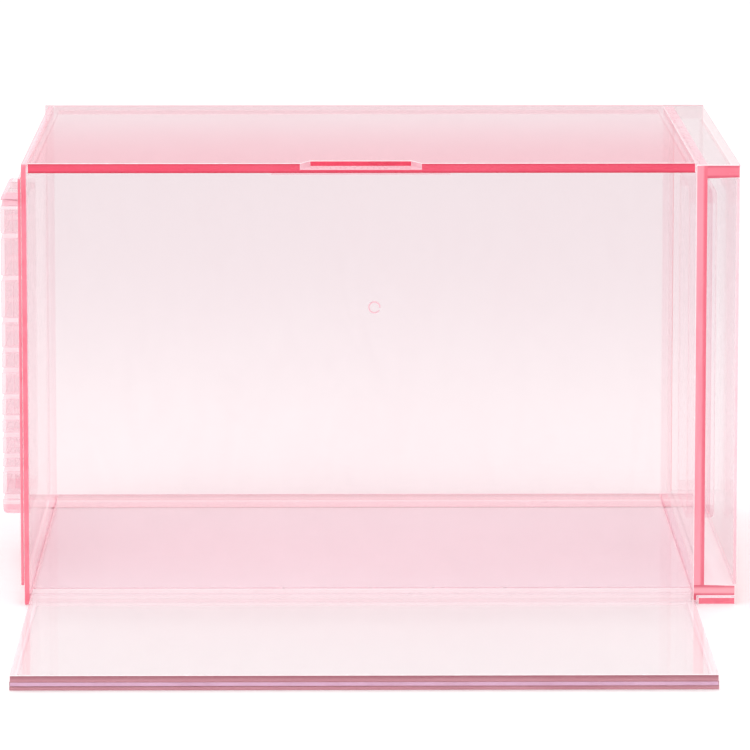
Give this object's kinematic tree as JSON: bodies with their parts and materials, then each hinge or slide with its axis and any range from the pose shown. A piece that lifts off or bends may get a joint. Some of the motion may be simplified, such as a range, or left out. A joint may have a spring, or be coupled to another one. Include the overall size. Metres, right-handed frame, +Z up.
{
  "type": "shoe box",
  "caption": "Stackable side-opening shoe box of clear tinted plastic with a drop-front door hinged along its lower edge.",
  "frame": {"origin": "middle of the case's underside, on the ground", "axes": "+Z up, -Y towards the open front, +X to the right as seen from the front"},
  "size_m": [0.3745, 0.4988, 0.2236],
  "materials": {
    "pink_plastic": "gloss, clear tinted",
    "light_pink_plastic": "gloss, clear tinted",
    "pale_pink_plastic": "gloss, clear tinted",
    "smoked_pink_plastic": "gloss, clear tinted"
  },
  "bodies": {
    "case": {"top_panel": "light_pink_plastic", "left_side_panel": "pink_plastic", "left_outer_plate": "light_pink_plastic", "left_boss": "light_pink_plastic", "right_side_panel": "pink_plastic", "right_boss": "light_pink_plastic", "right_outer_cover": "pale_pink_plastic", "back_panel": "pale_pink_plastic", "floor_panel": "light_pink_plastic", "base_plate": "pink_plastic"},
    "door": {"front_door": "smoked_pink_plastic"}
  },
  "joints": [
    {"name": "door_hinge", "type": "hinge", "parent": "case", "child": "door", "pos_m": [0, -0.14035, 0.00365], "axis": [-1, 0, 0], "range_deg": [0, 90]}
  ]
}
